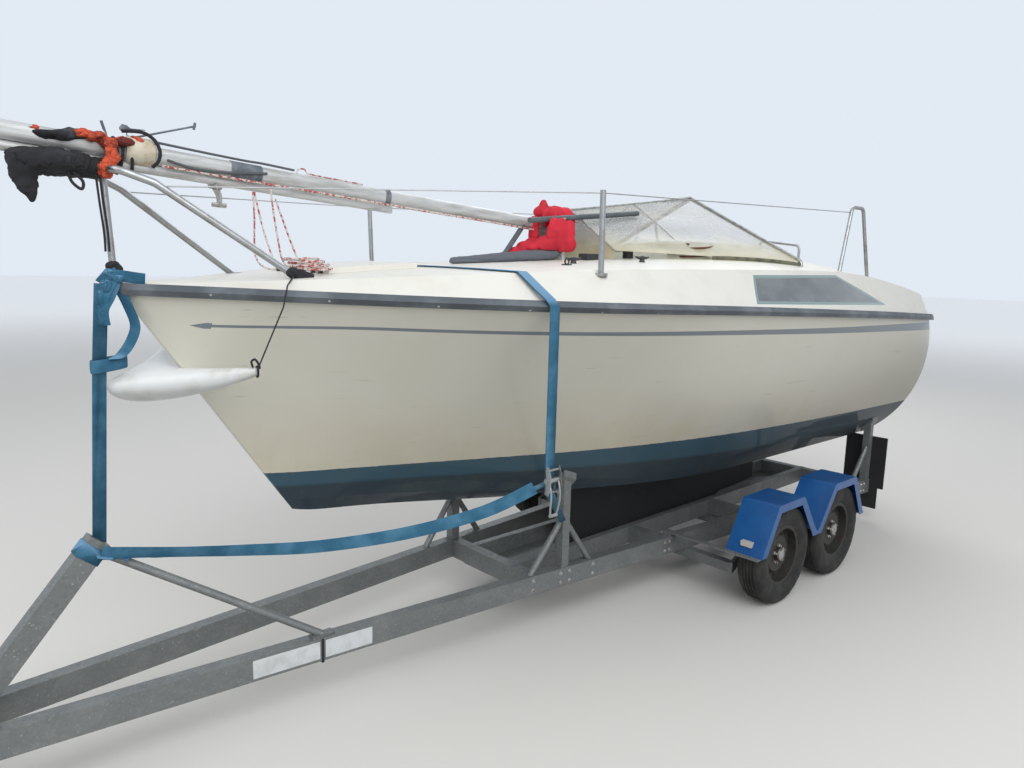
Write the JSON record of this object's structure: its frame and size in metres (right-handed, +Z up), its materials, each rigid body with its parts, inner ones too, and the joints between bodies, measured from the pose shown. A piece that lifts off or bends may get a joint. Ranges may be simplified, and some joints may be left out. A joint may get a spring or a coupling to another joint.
{
  "type": "small cabin sailing boat on a tandem road trailer",
  "caption": "Small cabin sailing boat with its mast lowered forward, stored on a tandem axle trailer with mudguards and a jockey wheel.",
  "frame": {"origin": "on the ground, under the middle of the whole object's box", "axes": "+X towards the bow and the coupling, +Y to port, +Z up"},
  "size_m": [9.9852, 2.1176, 2.5723],
  "materials": {
    "gelcoat": "cream moulded gelcoat, chalky, stained near the waterline",
    "hull_paint": "cream topsides over dark blue bottom paint",
    "rail_rubber": "dark blue grey rubber, scuffed",
    "tinted_pane": "grey green tinted acrylic",
    "keel_paint": "brown grey bottom paint over cast iron",
    "stainless": "polished stainless tube, weathered",
    "spar_alloy": "anodised alloy, dulled to cream",
    "clear_vinyl": "clear vinyl sheet, creased and hazy",
    "dark_cover": "dark blue grey cover cloth",
    "black_cloth": "black cloth with orange red patches",
    "red_cloth": "red cloth",
    "dark_tube": "dark tube",
    "deck_black": "black moulded deck gear",
    "fender_white": "white moulded vinyl",
    "blue_webbing": "blue woven polyester webbing",
    "galvanised": "dull spangled galvanised steel",
    "guard_blue": "bright blue painted sheet, scratched",
    "lamp_lens": "small clear lamp lens",
    "black_plate": "black flexible plate",
    "tyre_black": "worn black tyre",
    "rim_grey": "worn grey painted wheel",
    "washboard_wood": "varnished plywood",
    "tiller_wood": "varnished ash",
    "jockey_rubber": "solid black rubber"
  },
  "bodies": {
    "root": {"hull_shell": "hull_paint", "deck_moulding": "gelcoat", "cockpit_tub": "gelcoat", "rub_rail": "rail_rubber", "side_windows": "tinted_pane", "stub_keel": "keel_paint", "pulpit": "stainless", "stanchions": "stainless", "lifelines": "stainless", "mast_step": "spar_alloy", "spray_hood": "clear_vinyl", "hood_hoop": "stainless", "hatch_runners": "spar_alloy", "washboard": "washboard_wood", "rolled_cover": "dark_cover", "deck_pole": "dark_tube", "deck_gear": "deck_black", "bow_fender": "fender_white", "blue_straps": "blue_webbing", "ratchet": "stainless", "frame_rails": "galvanised", "cross_frame": "galvanised", "hull_supports": "galvanised", "bow_post": "galvanised", "coupling_gear": "galvanised", "axles": "galvanised", "mudguards": "guard_blue", "gudgeons": "stainless", "marker_lamps": "lamp_lens", "tail_plates": "black_plate"},
    "mast": {"mast": "spar_alloy", "boom": "spar_alloy", "sail_bundle": "black_cloth", "heel_rag": "red_cloth"},
    "fore_hatch": {"fore_hatch": "gelcoat"},
    "sliding_hatch": {"sliding_hatch": "gelcoat"},
    "rudder": {"rudder": "gelcoat", "tiller": "tiller_wood"},
    "jockey_tube": {"jockey_tube": "galvanised"},
    "jockey_fork": {"jockey_fork": "galvanised"},
    "jockey_wheel": {"jockey_wheel": "jockey_rubber"},
    "wheel_front_left": {"tyre_front_left": "tyre_black", "rim_front_left": "rim_grey"},
    "wheel_front_right": {"tyre_front_right": "tyre_black", "rim_front_right": "rim_grey"},
    "wheel_rear_left": {"tyre_rear_left": "tyre_black", "rim_rear_left": "rim_grey"},
    "wheel_rear_right": {"tyre_rear_right": "tyre_black", "rim_rear_right": "rim_grey"}
  },
  "joints": [
    {"name": "mast_hinge", "type": "hinge", "parent": "root", "child": "mast", "pos_m": [-1.43255, 0, 2.055], "axis": [0, -1, 0], "range_deg": [0, 85.7]},
    {"name": "fore_hatch_hinge", "type": "hinge", "parent": "root", "child": "fore_hatch", "pos_m": [0.00545, 0, 1.822], "axis": [0, 1, 0], "range_deg": [0, 28]},
    {"name": "sliding_hatch_slide", "type": "slide", "parent": "root", "child": "sliding_hatch", "axis": [1, 0, 0], "range_m": [0, 0.43]},
    {"name": "rudder_turn", "type": "hinge", "parent": "root", "child": "rudder", "pos_m": [-4.61255, 0, 1.2], "axis": [0, 0, 1], "range_deg": [-35, 35]},
    {"name": "jockey_lift", "type": "slide", "parent": "root", "child": "jockey_tube", "axis": [0, 0, 1], "range_m": [-0.15, 0.08]},
    {"name": "jockey_swivel", "type": "hinge", "parent": "jockey_tube", "child": "jockey_fork", "pos_m": [1.85745, -0.222, 0.2], "axis": [0, 0, 1], "continuous": true},
    {"name": "jockey_spin", "type": "hinge", "parent": "jockey_fork", "child": "jockey_wheel", "pos_m": [1.82545, -0.222, 0.1], "axis": [0, 1, 0], "continuous": true},
    {"name": "wheel_spin_front_left", "type": "hinge", "parent": "root", "child": "wheel_front_left", "pos_m": [-2.39255, 0.927, 0.28], "axis": [0, 1, 0], "continuous": true},
    {"name": "wheel_spin_front_right", "type": "hinge", "parent": "root", "child": "wheel_front_right", "pos_m": [-2.39255, -0.927, 0.28], "axis": [0, 1, 0], "continuous": true},
    {"name": "wheel_spin_rear_left", "type": "hinge", "parent": "root", "child": "wheel_rear_left", "pos_m": [-3.04255, 0.927, 0.28], "axis": [0, 1, 0], "continuous": true},
    {"name": "wheel_spin_rear_right", "type": "hinge", "parent": "root", "child": "wheel_rear_right", "pos_m": [-3.04255, -0.927, 0.28], "axis": [0, 1, 0], "continuous": true}
  ]
}
